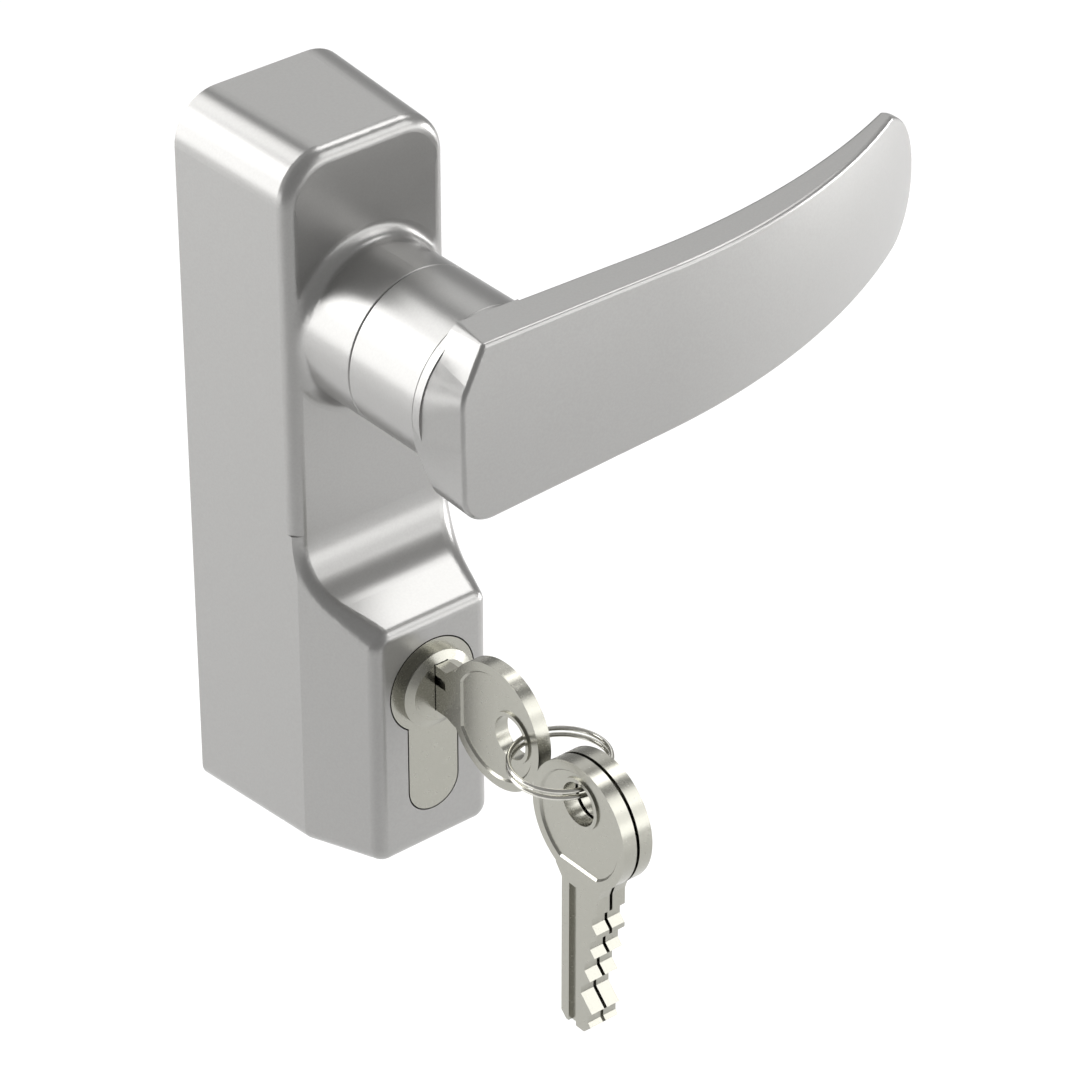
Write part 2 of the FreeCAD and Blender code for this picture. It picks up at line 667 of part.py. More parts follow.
def crowned_section(at, inward):
    """Section of the lever's front: slightly domed from its top edge to its bottom edge."""
    top = BOSS_R
    low = -LEVER_BOTTOM
    middle = (top + low) / 2
    spare = 1.5
    reach = (top - low) / 2
    radius = (reach * reach + LEVER_CROWN * LEVER_CROWN) / (2 * LEVER_CROWN)

    def place(out, z):
        return V(at.x, at.y, z) - inward * out

    def dome(z):
        offset = z - middle
        return LEVER_CROWN - radius + math.sqrt(radius * radius - offset * offset)

    high_end = place(dome(top + spare), top + spare)
    low_end = place(dome(low - spare), low - spare)
    arc = Part.Arc(high_end, place(LEVER_CROWN, middle), low_end).toShape()
    deep = 26
    corner_low = place(-deep, low - spare)
    corner_high = place(-deep, top + spare)
    lines = [arc]
    lines.append(Part.LineSegment(low_end, corner_low).toShape())
    lines.append(Part.LineSegment(corner_low, corner_high).toShape())
    lines.append(Part.LineSegment(corner_high, high_end).toShape())
    return Part.Face(Part.Wire(lines))


def front_form():
    return swept_bar(
        crowned_section, LEVER_FACE_SLOPE, LEVER_FACE_BEND_X, LEVER_FACE_BEND_R, -LEVER_FACE, LEVER_SWEEP)


def relief_section(at, inward):
    """Section behind the lever, for cutting its back face."""
    points = [(0, 30), (45, 30), (45, -30), (0, -30), (0, 30)]
    return Part.Face(Part.makePolygon([V(at.x, at.y, z) + inward * out for out, z in points]))


def back_relief():
    return swept_bar(
        relief_section, LEVER_BACK_SLOPE, LEVER_BACK_BEND_X, LEVER_BACK_BEND_R, -LEVER_BACK, LEVER_SWEEP)


def lever_side():
    """Lever seen from the front, right of its heel."""
    top = BOSS_R
    bottom = V(0, -LEVER_BOTTOM, 0)
    end = V(LEVER_REACH, -LEVER_BOTTOM + LEVER_BOTTOM_SLOPE * LEVER_REACH, 0)
    back = (bottom - end).normalize()
    opening = back.getAngle(V(0, 1, 0))
    reach = LEVER_TIP_R / math.tan(opening / 2)
    inward = (back + V(0, 1, 0)).normalize()
    middle = end + inward * (LEVER_TIP_R / math.sin(opening / 2) - LEVER_TIP_R)
    rise = top - LEVER_TIP_Z
    radius = (rise * rise + (LEVER_REACH - LEVER_TIP_X) ** 2) / (2 * (LEVER_REACH - LEVER_TIP_X))
    half_turn = math.asin(rise / radius) / 2
    on_arc = V(
        LEVER_REACH - radius * (1 - math.cos(half_turn)), LEVER_TIP_Z + radius * math.sin(half_turn), 0)

    def flat(p):
        return V(p.x, -75, p.y)

    after = V(LEVER_REACH, end.y + reach, 0)
    before = end + back * reach
    edges = [Part.LineSegment(flat(V(0, top, 0)), flat(V(LEVER_TIP_X, top, 0))).toShape()]
    edges.append(Part.Arc(
        flat(V(LEVER_TIP_X, top, 0)), flat(on_arc), flat(V(LEVER_REACH, LEVER_TIP_Z, 0))).toShape())
    edges.append(Part.LineSegment(flat(V(LEVER_REACH, LEVER_TIP_Z, 0)), flat(after)).toShape())
    edges.append(Part.Arc(flat(after), flat(middle), flat(before)).toShape())
    edges.append(Part.LineSegment(flat(before), flat(bottom)).toShape())
    edges.append(Part.LineSegment(flat(bottom), flat(V(0, top, 0))).toShape())
    return Part.Face(Part.Wire(edges)).extrude(V(0, 45, 0))


def lever_heel():
    """Heel that turns from the neck's round at the back into the lever's narrow front."""
    right = LEVER_JOIN_X
    octagon = BOSS_R * math.tan(math.pi / 8)

    def bottom_z(x):
        return -LEVER_BOTTOM + LEVER_BOTTOM_SLOPE * x

    back = [
        (right, BOSS_R, 0),
        (-octagon, BOSS_R, 3.0),
        (-BOSS_R, octagon, BOSS_R - 0.05),
        (-BOSS_R, -4.5, 8.0),
        (-LEVER_TOE_BACK_X, bottom_z(-LEVER_TOE_BACK_X), LEVER_TOE_BACK_R),
        (right, bottom_z(right), 0)]
    front = [
        (right, BOSS_R, 0),
        (-LEVER_HEEL_TOP_X, BOSS_R, LEVER_HEEL_TOP_R),
        (-LEVER_HEEL_X + 0.1, LEVER_HEEL_Z, LEVER_HEEL_R),
        (-LEVER_HEEL_X, -3.0, 30.0),
        (-LEVER_TOE_X, bottom_z(-LEVER_TOE_X), LEVER_TOE_R),
        (right, bottom_z(right), 0)]
    stretch = 1.3
    far = []
    for b, f in zip(back, front):
        far.append(tuple(p + (q - p) * stretch for p, q in zip(b, f)))
    y_back = -NECK_FRONT
    y_far = y_back - (LEVER_FACE - 0.2 - NECK_FRONT) * stretch
    wire_back = rounded_wire(back, lambda u, v: V(u, y_back, v))
    wire_far = rounded_wire(far, lambda u, v: V(u, y_far, v))
    return Part.makeLoft([wire_back, wire_far], True, True)


def rim(shape, way):
    """Edges round the faces that look along way times +Y."""
    edges = []
    for edge in shape.Edges:
        sides = []
        for face in shape.ancestorsOfType(edge, Part.Face):
            u, v = face.Surface.parameter(edge.CenterOfMass)
            sides.append(face.normalAt(u, v).y * way > 0.7)
        if True in sides and False in sides:
            edges.append(edge)
    return edges


def lever_handle():
    front = front_form()
    relief = back_relief()
    arm = lever_side().common(front).cut(relief)
    arm = arm.makeFillet(LEVER_BACK_EDGE_R, [edge for edge in rim(arm, 1) if edge.CenterOfMass.x > 0.1])
    heel = lever_heel().common(front).cut(relief)
    lever = arm.fuse(heel).removeSplitter()
    lever = lever.makeFillet(LEVER_FRONT_EDGE_R, rim(lever, -1))
    pad = rod_y(BOSS_R, -NECK_FRONT - 1.6, -NECK_FRONT).common(
        box(-BOSS_R, BOSS_R, -70, -40, -BOSS_R, BOSS_R - 0.001))
    lever = lever.fuse(pad)
    spigot = rod_y(SPIGOT_R, -NECK_FRONT - 1, -NECK_FRONT + SPIGOT_DEPTH)
    lever = lever.fuse(spigot)
    return lever.cut(rod_y(SCREW_M5_R, NECK_WEB_BACK - NECK_SCREW_LENGTH - 0.8, -40))


def back_plate():
    inset = WALL + PLATE_CLEARANCE
    outline = section(
        -PLATE, HOUSING_WIDTH / 2 - inset - 0.15, -AXIS_TO_BOTTOM + inset, AXIS_TO_TOP - inset,
        0.6, TOP_CORNER_R - inset)
    plate = Part.Face(outline).extrude(V(0, PLATE, 0))
    plate = plate.cut(rod_y(REAR_JOURNAL_R + RUNNING_CLEARANCE, -PLATE - 1, 1))
    plate = plate.cut(cylinder_outline(0.4, -PLATE - 1, 1))
    for z in (PILLAR_TOP_Z, PILLAR_LOW_Z):
        plate = plate.cut(rod_y(PILLAR_R + 0.05, -PLATE - 1, 1, 0, z))
    for x, z in screw_places():
        plate = plate.cut(rod_y(PLATE_SCREW_R + 0.1, -PLATE - 1, 1, x, z))
        plate = plate.cut(cone_y(PLATE_SCREW_R + 0.1, PLATE_SCREW_HEAD_R + 0.1, -1.4, 0, x, z))
    return plate


def plate_studs():
    """Two guide posts behind the slide and the post that holds the lever spring's leg."""
    studs = []
    for x, z in ((-GUIDE_POST_X, GUIDE_POST_LOW_Z), (GUIDE_POST_X, GUIDE_POST_HIGH_Z)):
        studs.append(rod_y(GUIDE_POST_R, SLIDE_BACK + GUIDE_GAP, -PLATE, x, z))
    post = box(
        -LEG_POST_FAR, -LEG_POST_NEAR, -LEG_POST_DEPTH, -PLATE,
        SPRING_R + LEG_POST_RISE, SPRING_LEG_END + LEG_POST_OVER)
    studs.append(turned(post, TAB_ANGLE))
    return Part.makeCompound(studs)


def plate_screw(x, z):
    shank = rod_y(PLATE_SCREW_R, -PLATE_SCREW_LENGTH, -1.2, x, z)
    head = cone_y(PLATE_SCREW_R, PLATE_SCREW_HEAD_R, -1.4, -0.1, x, z)
    slot_a = box(x - 1.6, x + 1.6, -0.9, 0.5, z - 0.35, z + 0.35)
    slot_b = box(x - 0.35, x + 0.35, -0.9, 0.5, z - 1.6, z + 1.6)
    return shank.fuse(head).cut(slot_a.fuse(slot_b))


def back_plate_screws():
    return Part.makeCompound([plate_screw(x, z) for x, z in screw_places()])


def fixing_pillar(z):
    pillar = rod_y(PILLAR_R, FRONT_INNER, 0, 0, z)
    bore = rod_y(PILLAR_THREAD_R, -PILLAR_THREAD_DEPTH, 1, 0, z)
    mouth = cone_y(PILLAR_THREAD_R, PILLAR_THREAD_R + 0.6, -0.6, 0, 0, z)
    return pillar.cut(bore.fuse(mouth))


def fixing_pillars():
    return Part.makeCompound([fixing_pillar(PILLAR_TOP_Z), fixing_pillar(PILLAR_LOW_Z)])


def coil_point(radius, angle, rise, start_angle, origin, u, v, w):
    """Point of a coil about w at an angle from u towards v."""
    total = math.radians(start_angle + angle)
    flat = u * (radius * math.cos(total)) + v * (radius * math.sin(total))
    return origin + flat + w * (rise * angle / 360)


def coil_tangent(radius, angle, rise, start_angle, u, v, w):
    """Direction of the coil at the same angle."""
    total = math.radians(start_angle + angle)
    flat = u * (-radius * math.sin(total)) + v * (radius * math.cos(total))
    return (flat + w * (rise / (2 * math.pi))).normalize()


def arc_between(start, corner, end):
    """Arc from start to end that is tangent to both lines through the corner."""
    chord = (end - start).Length
    weight = chord / (2 * (corner - start).Length)
    middle = (start + end + corner * (2 * weight)) * (1 / (2 + 2 * weight))
    return Part.Arc(start, middle, end).toShape()


def biarc(start, start_way, end, end_way):
    """Two arcs that leave along start_way and arrive along end_way without a kink."""
    gap = end - start
    ways = start_way + end_way
    square = 4 - ways.dot(ways)
    dot = gap.dot(ways)
    reach = (-dot + math.sqrt(dot * dot + square * gap.dot(gap))) / square
    first = start + start_way * reach
    second = end - end_way * reach
    joint = (first + second) * 0.5
    return [arc_between(start, first, joint), arc_between(joint, second, end)]


def coil_edges(radius, turns_angle, rise, start_angle, origin, u, v, w):
    """Biarcs of at most a half turn along a coil."""
    count = max(1, math.ceil(abs(turns_angle) / 180))
    step = turns_angle / count
    edges = []
    for i in range(count):
        a = i * step
        b = a + step
        edges += biarc(
            coil_point(radius, a, rise, start_angle, origin, u, v, w),
            coil_tangent(radius, a, rise, start_angle, u, v, w),
            coil_point(radius, b, rise, start_angle, origin, u, v, w),
            coil_tangent(radius, b, rise, start_angle, u, v, w))
    return edges


def print_gap(name, edges, wire_r, radius):
    """Prints how near the wire comes to itself from half a turn on, measured on points."""
    points = []
    for edge in edges:
        points += edge.discretize(max(3, int(edge.Length / 0.4)))[:-1]
    far = [0.0]
    for i in range(1, len(points)):
        far.append(far[-1] + (points[i] - points[i - 1]).Length)
    least = 1000.0
    for i in range(len(points)):
        for j in range(i + 1, len(points)):
            if far[j] - far[i] >= math.pi * radius:
                least = min(least, (points[j] - points[i]).Length)
    print(name, "least gap to itself", round(least - 2 * wire_r, 2), "mm")


def tube(name, edges, wire_r, radius):
    """Round wire along a chain of edges."""
    print_gap(name, edges, wire_r, radius)
    path = Part.Wire(edges)
    first = edges[0]
    start = first.valueAt(first.FirstParameter)
    along = first.tangentAt(first.FirstParameter)
    ring = Part.Wire(Part.makeCircle(wire_r, start, along))
    return path.makePipeShell([ring], True, False)


def lever_return_spring():
    """Torsion coil round the rear journal: its front leg holds the hub, its rear leg the back plate."""
    y_front = HUB_BACK + 0.3 + SPRING_WIRE_R
    leg_x = LUG_HALF + SPRING_WIRE_R + 0.05
    bend_x = leg_x + SPRING_BEND_R
    bend_z = math.sqrt((SPRING_R + SPRING_BEND_R) ** 2 - bend_x ** 2)
    lean = math.degrees(math.atan2(bend_x, bend_z))
    first = LUG_REST_ANGLE + lean
    last = TAB_ANGLE - lean + 360 * SPRING_TURNS
    sweep = last - first
    length = SPRING_PITCH * sweep / 360
    scale = SPRING_R / (SPRING_R + SPRING_BEND_R)

    def leg(angle, y, mirror):
        """Bent leg in the plane y, from its outer end to the coil."""
        def spot(x, z):
            point = V(x * mirror, y, z)
            turn = math.radians(angle)
            return V(
                point.x * math.cos(turn) + point.z * math.sin(turn), y,
                -point.x * math.sin(turn) + point.z * math.cos(turn))
        end = spot(leg_x, SPRING_LEG_END)
        corner = spot(leg_x, bend_z)
        on_coil = spot(bend_x * scale, bend_z * scale)
        aim = math.radians(180 + (90 - lean) / 2)
        middle = spot(
            bend_x + SPRING_BEND_R * math.cos(aim), bend_z + SPRING_BEND_R * math.sin(aim))
        return [Part.LineSegment(end, corner).toShape(), Part.Arc(corner, middle, on_coil).toShape()]

    start_leg = leg(LUG_REST_ANGLE, y_front, 1)
    coil = coil_edges(
        SPRING_R, sweep, SPRING_PITCH, first, V(0, y_front, 0), Z_AXIS, X_AXIS, Y_AXIS)
    end_leg = leg(TAB_ANGLE, y_front + length, -1)
    back_bend = end_leg[1]
    back_line = end_leg[0]
    path = start_leg + coil + [back_bend, back_line]
    return tube("lever_return_spring", path, SPRING_WIRE_R, SPRING_R)


def lock_slide():
    """Plate that the cam lifts; its tongue rises beside the hub's lower lug."""
    corners = [
        (SLIDE_LEFT, SLIDE_LOW_Z, 1.0),
        (SLIDE_RIGHT, SLIDE_LOW_Z, 1.0),
        (SLIDE_RIGHT, SLIDE_SPRING_LOW - SLIDE_EAR, 0.5),
        (SLIDE_SPRING_X + SLIDE_SPRING_R + 0.7, SLIDE_SPRING_LOW - SLIDE_EAR, 0.5),
        (SLIDE_SPRING_X + SLIDE_SPRING_R + 0.7, SLIDE_SPRING_LOW, 0.4),
        (SLIDE_RIGHT - 1, SLIDE_SPRING_LOW, 0.4),
        (SLIDE_RIGHT - 1, SLIDE_SHOULDER_Z, 1.0),
        (TONGUE_INNER, SLIDE_SHOULDER_Z, 0.5),
        (TONGUE_INNER, TONGUE_ENGAGED_Z - SLIDE_TRAVEL, 0.4),
        (TONGUE_OUTER, TONGUE_ENGAGED_Z - SLIDE_TRAVEL, 0.4),
        (TONGUE_OUTER, SLIDE_SHOULDER_Z, 0.5),
        (SLIDE_LEFT, SLIDE_SHOULDER_Z, 1.5)]
    slide = plate_y(corners, SLIDE_FRONT, SLIDE_BACK)
    half = PILLAR_R + 0.2
    low = PILLAR_LOW_Z - SLIDE_TRAVEL - half
    high = PILLAR_LOW_Z + half
    end_r = half - 0.01
    slot = plate_y(
        [(half, low, end_r), (half, high, end_r), (-half, high, end_r), (-half, low, end_r)],
        SLIDE_FRONT - 1, SLIDE_BACK + 1)
    slide = slide.cut(slot)
    arm_right = SLIDE_LEFT + ARM_WIDTH
    arm_back = CAM_MIDDLE + ARM_BEHIND
    arm = box(SLIDE_LEFT, arm_right, CAM_MIDDLE - ARM_AHEAD, arm_back, CYL_Z - FOOT_DROP, ARM_TOP_Z)
    gusset = box(SLIDE_LEFT, arm_right, SLIDE_FRONT, arm_back, GUSSET_LOW_Z, ARM_TOP_Z)
    return slide.fuse([arm, gusset]).removeSplitter()


def slide_return_spring():
    """Compression coil between the slide's ear and the ledge in the casting."""
    low = SLIDE_SPRING_LOW + SLIDE_SPRING_WIRE_R
    high = SLIDE_SPRING_HIGH - SLIDE_SPRING_WIRE_R
    pitch = (high - low) / SLIDE_SPRING_TURNS
    origin = V(SLIDE_SPRING_X, SLIDE_MIDDLE, low)
    edges = coil_edges(
        SLIDE_SPRING_R, 360 * SLIDE_SPRING_TURNS, pitch, 0, origin, X_AXIS, Y_AXIS, Z_AXIS)
    return tube("slide_return_spring", edges, SLIDE_SPRING_WIRE_R, SLIDE_SPRING_R)


CHAMBER_R = PIN_R + PIN_CLEARANCE
CAM_BACK = CAM_MIDDLE + CAM_SPACE / 2
CAM_FRONT = CAM_MIDDLE - CAM_SPACE / 2
PLUG_END = CAM_FRONT - 0.5
PIN_PITCH = (PLUG_END - PIN_LAST - CYL_FRONT - PIN_FIRST) / (len(PIN_CUTS) - 1)
PIN_PLACES = [CYL_FRONT + PIN_FIRST + PIN_PITCH * i for i in range(len(PIN_CUTS))]
TAIL_END = CYL_BACK - 0.2
CLIP_SEAT = CYL_BACK - CLIP_POCKET
KEY_BASE = KEY_BLADE_LIFT - KEY_BLADE_HEIGHT / 2


def cylinder_body():
    body = cylinder_outline(0, CYL_FRONT, CYL_BACK)
    leg_low = CYL_Z + CYL_R - CYL_HEIGHT
    body = body.cut(box(-12, 12, CAM_FRONT, CAM_BACK, CYL_Z - CAM_BRIDGE, CYL_Z + 12))
    body = body.cut(rod_y(PLUG_R + RUNNING_CLEARANCE, CYL_FRONT - 1, CAM_FRONT + 0.1, 0, CYL_Z))
    body = body.cut(rod_y(TAIL_R + RUNNING_CLEARANCE, CAM_BACK - 0.1, CYL_BACK + 1, 0, CYL_Z))
    body = body.cut(rod_y(CLIP_R + 0.5, CLIP_SEAT, CYL_BACK + 1, 0, CYL_Z))
    for y in PIN_PLACES:
        body = body.cut(rod_z(CHAMBER_R, leg_low - 1, CYL_Z - 3, 0, y))
    return body.cut(rod_x(SCREW_M5_R, -LEG_WIDTH, LEG_WIDTH, CAM_MIDDLE, CYL_SCREW_Z))


def cylinder_screw():
    """Cap screw that holds the cylinder to the casting's inner rib."""
    shank = rod_x(SCREW_M5_R - 0.05, -LEG_WIDTH / 2 + 1.0, RIB_OUT, CAM_MIDDLE, CYL_SCREW_Z)
    head = rod_x(SCREW_HEAD_R, RIB_OUT, RIB_OUT + SCREW_HEAD_LENGTH, CAM_MIDDLE, CYL_SCREW_Z)
    drive = hex_bar(3.5, 0, 5)
    drive.rotate(V(0, 0, 0), Z_AXIS, -90)
    drive.translate(V(RIB_OUT + 1.5, CAM_MIDDLE, CYL_SCREW_Z))
    return shank.fuse(head).cut(drive)


def chamber_plugs():
    low = CYL_Z + CYL_R - CYL_HEIGHT + 0.3
    return Part.makeCompound(
        [rod_z(CHAMBER_R - 0.02, low, low + CHAMBER_PLUG, 0, y) for y in PIN_PLACES])


def keyway(y0, y1):
    half = KEY_THICK / 2 + KEYWAY_GAP
    low = CYL_Z + KEY_BASE - KEYWAY_GAP
    high = CYL_Z + KEY_BLADE_LIFT + KEY_BLADE_HEIGHT / 2 + KEYWAY_GAP
    return box(-half, half, y0, y1, low, high)


def cylinder_plug():
    plug = rod_y(PLUG_R, CYL_FRONT, PLUG_END)
    plug = plug.fuse(rod_y(TAIL_R, PLUG_END, TAIL_END))
    rim = CYL_FRONT - PLUG_HEAD
    plug = plug.fuse(rod_y(PLUG_HEAD_R, rim, CYL_FRONT))
    plug = plug.fuse(cone_y(PLUG_HEAD_R - PLUG_HEAD_CHAMFER, PLUG_HEAD_R, rim - PLUG_HEAD_RISE, rim))
    plug = plug.removeSplitter()
    for side in (1, -1):
        z0, z1 = sorted((TAIL_FLAT * side, PLUG_R * side))
        plug = plug.cut(box(-PLUG_R, PLUG_R, CAM_FRONT, CAM_BACK, z0, z1))
    groove = rod_y(PLUG_R, CLIP_SEAT + 0.15, CLIP_SEAT + 0.15 + CLIP_THICK + 0.1)
    groove = groove.cut(rod_y(TAIL_R - 0.6, CLIP_SEAT - 1, CLIP_SEAT + 3))
    plug = plug.cut(groove)
    plug.translate(V(0, 0, CYL_Z))
    plug = plug.cut(keyway(rim - PLUG_HEAD_RISE - 1, PLUG_END + 0.4))
    for y in PIN_PLACES:
        plug = plug.cut(rod_z(CHAMBER_R, CYL_Z - PLUG_R - 1, CYL_Z + KEY_BASE + 0.5, 0, y))
    return plug


def cylinder_cam():
    width = CAM_WIDTH / 2
    ring = rod_y(CAM_RING_R, CAM_MIDDLE - width, CAM_MIDDLE + width)
    nose = box(-CAM_HALF, CAM_HALF, CAM_MIDDLE - width, CAM_MIDDLE + width, -CAM_R - 1, -5)
    nose = nose.common(rod_y(CAM_R, CAM_MIDDLE - width, CAM_MIDDLE + width))
    cam = ring.fuse(nose).removeSplitter()
    hole = rod_y(TAIL_R + RUNNING_CLEARANCE, CAM_FRONT - 1, CAM_BACK + 1)
    flat = TAIL_FLAT + RUNNING_CLEARANCE
    hole = hole.common(box(-CAM_RING_R, CAM_RING_R, CAM_FRONT - 1, CAM_BACK + 1, -flat, flat))
    cam = cam.cut(hole)
    cam.translate(V(0, 0, CYL_Z))
    return cam


def plug_circlip():
    y0 = CLIP_SEAT + 0.2
    clip = rod_y(CLIP_R, y0, y0 + CLIP_THICK).cut(rod_y(TAIL_R - 0.55, y0 - 1, y0 + 2))
    clip = clip.cut(box(-CLIP_OPENING / 2, CLIP_OPENING / 2, y0 - 1, y0 + 2, TAIL_R - 2, CLIP_R + 1))
    clip.translate(V(0, 0, CYL_Z))
    return clip


def key_pin(y, cut):
    base = CYL_Z - PLUG_R + 0.2
    tip = CYL_Z + KEY_BASE + cut - 0.05
    barrel = rod_z(PIN_R, base, tip - 1.0, 0, y)
    point = Part.makeCone(PIN_R, 0.5, 1.0, V(0, y, tip - 1.0), Z_AXIS)
    return barrel.fuse(point)


def key_pins():
    return Part.makeCompound([key_pin(y, cut) for y, cut in zip(PIN_PLACES, PIN_CUTS)])


DRIVER_TOP = CYL_Z - PLUG_R - 0.12


def driver_pins():
    return Part.makeCompound(
        [rod_z(PIN_R, DRIVER_TOP - DRIVER_LENGTH, DRIVER_TOP, 0, y) for y in PIN_PLACES])


def pin_springs():
    """Fine springs below the driver pins, kept as plain sleeves."""
    low = CYL_Z + CYL_R - CYL_HEIGHT + 0.3 + CHAMBER_PLUG
    high = DRIVER_TOP - DRIVER_LENGTH
    sleeves = []
    for y in PIN_PLACES:
        outside = rod_z(PIN_R - 0.05, low, high, 0, y)
        sleeves.append(outside.cut(rod_z(PIN_R - 0.4, low - 1, high + 1, 0, y)))
    return Part.makeCompound(sleeves)


def bow_recess(side, bow_y, bow_z, end_y):
    """Shallow field with sloping walls in one face of the bow."""
    face = side * KEY_THICK / 2
    floor = side * (KEY_THICK / 2 - KEY_RECESS)
    outer = KEY_BOW_R - KEY_BOW_RIM
    start = V(floor, bow_y, bow_z)
    field = Part.makeCone(outer - KEY_RECESS, outer, KEY_RECESS, start, V(side, 0, 0))
    points = [(floor, end_y - KEY_RECESS), (face, end_y), (face, bow_y - 30), (floor, bow_y - 30)]
    points.append(points[0])
    low = bow_z - KEY_BOW_R
    limit = Part.Face(Part.makePolygon([V(x, y, low) for x, y in points]))
    return field.common(limit.extrude(V(0, 0, 2 * KEY_BOW_R)))


def key_blank():
    """Key in its working place: bow outside, blade into the plug, cuts facing down."""
    half = KEY_THICK / 2
    bow_z = CYL_Z + KEY_BLADE_LIFT + KEY_BOW_LIFT
    bow_y = KEY_BOW_Y
    shoulder = KEY_SHOULDER_Y
    disc = rod_x(KEY_BOW_R, -half, half, bow_y, bow_z)
    disc = disc.common(box(-5, 5, -90, shoulder, CYL_Z - 30, CYL_Z + 30))
    for side in (1, -1):
        disc = disc.cut(bow_recess(side, bow_y, bow_z, shoulder - KEY_BOW_RIM))
    hole_y = bow_y - KEY_HOLE_OFFSET
    eyelet = rod_x(KEY_HOLE_R + 0.7, -half, half, hole_y, bow_z)
    disc = disc.fuse(eyelet).cut(rod_x(KEY_HOLE_R, -5, 5, hole_y, bow_z))
    low = CYL_Z + KEY_BASE
    high = low + KEY_BLADE_HEIGHT
    tip = PLUG_END - KEY_TIP_GAP
    neck = shoulder + KEY_NECK
    points = [
        (shoulder - 0.5, bow_z - KEY_NECK_HALF + 0.3),
        (shoulder, bow_z - KEY_NECK_HALF + 0.3),
        (neck, low),
        (tip - 3.0, low),
        (tip, low + 3.0),
        (tip, high - 1.2),
        (tip - 1.2, high),
        (neck, high),
        (shoulder, bow_z + KEY_NECK_HALF - 0.3),
        (shoulder - 0.5, bow_z + KEY_NECK_HALF - 0.3)]
    blade = plate_x([(y, z, 0) for y, z in points], -half, half)
    for y, depth in [(PIN_PLACES[0] - PIN_PITCH, OUTER_CUT)] + list(zip(PIN_PLACES, PIN_CUTS)):
        flat = 0.65
        notch = [(y - flat, low + depth), (y + flat, low + depth)]
        notch += [(y + flat + depth + 1, low - 1), (y - flat - depth - 1, low - 1)]
        blade = blade.cut(plate_x([(u, v, 0) for u, v in notch], -half - 1, half + 1))
    groove_z = CYL_Z + KEY_BLADE_LIFT + GROOVE_Z
    groove = box(
        -half - 1, -half + GROOVE_DEPTH, neck + 0.3, tip + 1,
        groove_z - GROOVE_WIDTH / 2, groove_z + GROOVE_WIDTH / 2)
    return disc.fuse(blade.cut(groove)).removeSplitter()


KEY_BOW_Y = CYL_FRONT - KEY_BOW_OUT
KEY_SHOULDER_Y = KEY_BOW_Y + KEY_BOW_R - KEY_BOW_FLAT
RING_BACK_Y = KEY_BOW_Y - KEY_HOLE_OFFSET - KEY_HOLE_R + RING_SEAT_GAP + RING_WIRE_R
RING_Y = RING_BACK_Y - RING_R


def working_key():
    return key_blank()


def split_ring():
    """Two close turns of spring wire that begin and end beside the spare keys."""
    lowest = RING_Z - RING_PITCH * (0.25 + (270 - RING_START) / 360)
    origin = V(0, RING_Y, lowest)
    edges = coil_edges(RING_R, 720, RING_PITCH, RING_START, origin, X_AXIS, V(0, -1, 0), Z_AXIS)
    return tube("split_ring", edges, RING_WIRE_R, RING_R)


def spare_key(side):
    """Key that hangs from the front of the ring with its blade down."""
    key = key_blank()
    hole_y = KEY_BOW_Y - KEY_HOLE_OFFSET
    hole_z = CYL_Z + KEY_BLADE_LIFT + KEY_BOW_LIFT
    key.rotate(V(0, hole_y, hole_z), X_AXIS, -90)
    front_y = RING_Y - RING_R
    front_z = RING_Z + RING_PITCH / 4
    shift = V(side * (KEY_THICK / 2 + SPARE_GAP), front_y + 0.3 - hole_y, front_z - SPARE_HANG - hole_z)
    key.translate(shift)
    return key


def main():
    os.makedirs("parts", exist_ok=True)
    save("housing_shell", housing_shell())
    save("boss_bush", boss_bush())
    save("back_plate", back_plate())
    save("plate_studs", plate_studs())
    save("back_plate_screws", back_plate_screws())
    save("fixing_pillars", fixing_pillars())
    save("drive_hub", drive_hub())
    save("thrust_washer", thrust_washer())
    save("lever_neck", lever_neck())
    save("lever_handle", lever_handle())
    save("neck_screw", neck_screw())
    save("neck_grub_screw", neck_grub_screw())
    save("lever_return_spring", lever_return_spring())
    save("lock_slide", lock_slide())
    save("slide_return_spring", slide_return_spring())
    save("cylinder_body", cylinder_body())
    save("cylinder_screw", cylinder_screw())
    save("cylinder_plug", cylinder_plug())
    save("cylinder_cam", cylinder_cam())
    save("plug_circlip", plug_circlip())
    save("key_pins", key_pins())
    save("driver_pins", driver_pins())
    save("pin_springs", pin_springs())
    save("chamber_plugs", chamber_plugs())
    save("working_key", working_key())
    save("split_ring", split_ring())
    save("spare_key_1", spare_key(-1))
    save("spare_key_2", spare_key(1))


main()
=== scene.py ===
import math

import bpy
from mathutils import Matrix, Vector


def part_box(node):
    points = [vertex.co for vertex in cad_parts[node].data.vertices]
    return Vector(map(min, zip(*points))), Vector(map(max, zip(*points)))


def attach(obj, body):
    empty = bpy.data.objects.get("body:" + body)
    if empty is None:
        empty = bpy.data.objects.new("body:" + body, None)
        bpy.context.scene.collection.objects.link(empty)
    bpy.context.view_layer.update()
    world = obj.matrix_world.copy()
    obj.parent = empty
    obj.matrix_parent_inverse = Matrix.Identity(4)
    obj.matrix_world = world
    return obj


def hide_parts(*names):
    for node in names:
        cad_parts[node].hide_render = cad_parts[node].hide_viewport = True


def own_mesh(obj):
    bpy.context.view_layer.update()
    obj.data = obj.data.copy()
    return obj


# Lengths are in metres, in the part's frame: +X to the lever's tip, -Y out of the door, +Z up.

